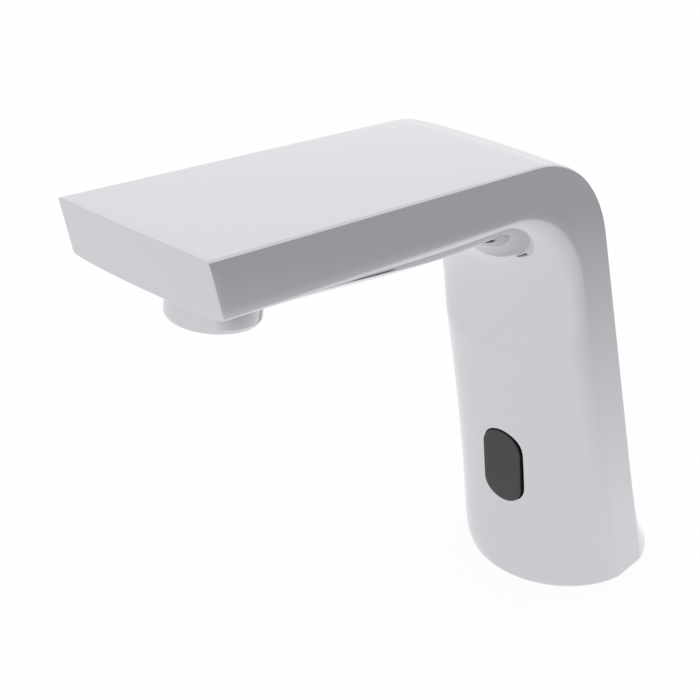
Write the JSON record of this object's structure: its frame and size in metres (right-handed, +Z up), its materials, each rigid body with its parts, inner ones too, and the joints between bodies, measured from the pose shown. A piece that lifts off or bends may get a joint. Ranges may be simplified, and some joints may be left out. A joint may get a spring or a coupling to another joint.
{
  "type": "sensor basin tap",
  "caption": "Touch-free basin tap: round foot, flat-sided leaning column, wide rising spout with an aerator below, and a dark sensor window.",
  "frame": {"origin": "centre of the round foot, on the face that meets the basin", "axes": "+Z up, the spout points to -Y, +X is to the right seen from the back"},
  "size_m": [0.061, 0.2247, 0.1895],
  "materials": {
    "chrome": "polished chrome plate on brass",
    "brass": "machined brass",
    "steel": "stainless steel",
    "copper": "drawn copper",
    "rubber": "matt black rubber",
    "white_plastic": "white moulded plastic",
    "black_plastic": "black moulded plastic",
    "lens": "dark infrared lens, glossy",
    "board": "green circuit board",
    "eye_clear": "clear infrared diode",
    "eye_dark": "dark infrared receiver"
  },
  "bodies": {
    "tap": {"body_shell": "chrome", "base_insert": "brass", "inlet_body": "brass", "valve_body": "brass", "outlet_nipple": "brass", "insert_screw_left": "steel", "insert_screw_right": "steel", "inlet_strainer": "steel", "check_spring": "steel", "valve_bonnet": "steel", "bonnet_screw_one": "steel", "bonnet_screw_two": "steel", "bonnet_screw_three": "steel", "bonnet_screw_four": "steel", "plunger_spring": "steel", "coil_case": "steel", "coil_clip": "steel", "valve_screw_left": "steel", "valve_screw_right": "steel", "sensor_screw_upper": "steel", "sensor_screw_lower": "steel", "inlet_tube": "copper", "outlet_tube": "copper", "coil_winding": "copper", "base_gasket": "rubber", "diaphragm": "rubber", "inlet_lower_seal": "rubber", "inlet_upper_seal": "rubber", "outlet_lower_seal": "rubber", "outlet_upper_seal": "rubber", "sensor_gasket": "rubber", "cable_grommet": "rubber", "sensor_cable": "rubber", "check_retainer": "white_plastic", "coil_bobbin": "black_plastic", "sensor_housing": "black_plastic", "sensor_window": "lens", "sensor_board": "board", "ir_emitter": "eye_clear", "ir_receiver": "eye_dark"},
    "aerator_cartridge": {"aerator_insert": "white_plastic", "aerator_gasket": "rubber", "aerator_screen": "steel"},
    "aerator_ring": {"aerator_housing": "chrome"},
    "plunger_group": {"plunger": "steel", "plunger_seal": "rubber"},
    "diaphragm_hub": {"diaphragm_plate": "white_plastic"},
    "check_valve": {"check_poppet": "white_plastic"}
  },
  "joints": [
    {"name": "aerator_drop", "type": "slide", "parent": "tap", "child": "aerator_cartridge", "axis": [0, -0.1383, -0.9904], "range_m": [0, 0.005]},
    {"name": "aerator_turn", "type": "hinge", "parent": "aerator_cartridge", "child": "aerator_ring", "pos_m": [0, -0.16404, 0.18538], "axis": [0, -0.1383, -0.9904], "range_deg": [0, 1800]},
    {"name": "plunger_lift", "type": "slide", "parent": "tap", "child": "plunger_group", "axis": [0, -0.2681, 0.9634], "range_m": [0, 0.0015], "stiffness_N_per_m": 250, "springref_m": -0.004, "deforming": ["plunger_spring"]},
    {"name": "hub_lift", "type": "slide", "parent": "tap", "child": "diaphragm_hub", "axis": [0, -0.2681, 0.9634], "range_m": [0, 0.0012], "deforming": ["diaphragm"]},
    {"name": "check_lift", "type": "slide", "parent": "tap", "child": "check_valve", "axis": [0, 0, 1], "range_m": [0, 0.002], "stiffness_N_per_m": 100, "springref_m": -0.003, "deforming": ["check_spring"]}
  ],
  "couplings": [
    {"joint": "aerator_drop", "follows": "aerator_turn", "m_per_rad": 0.00015915},
    {"joint": "hub_lift", "follows": "plunger_lift", "ratio": 0.8}
  ]
}
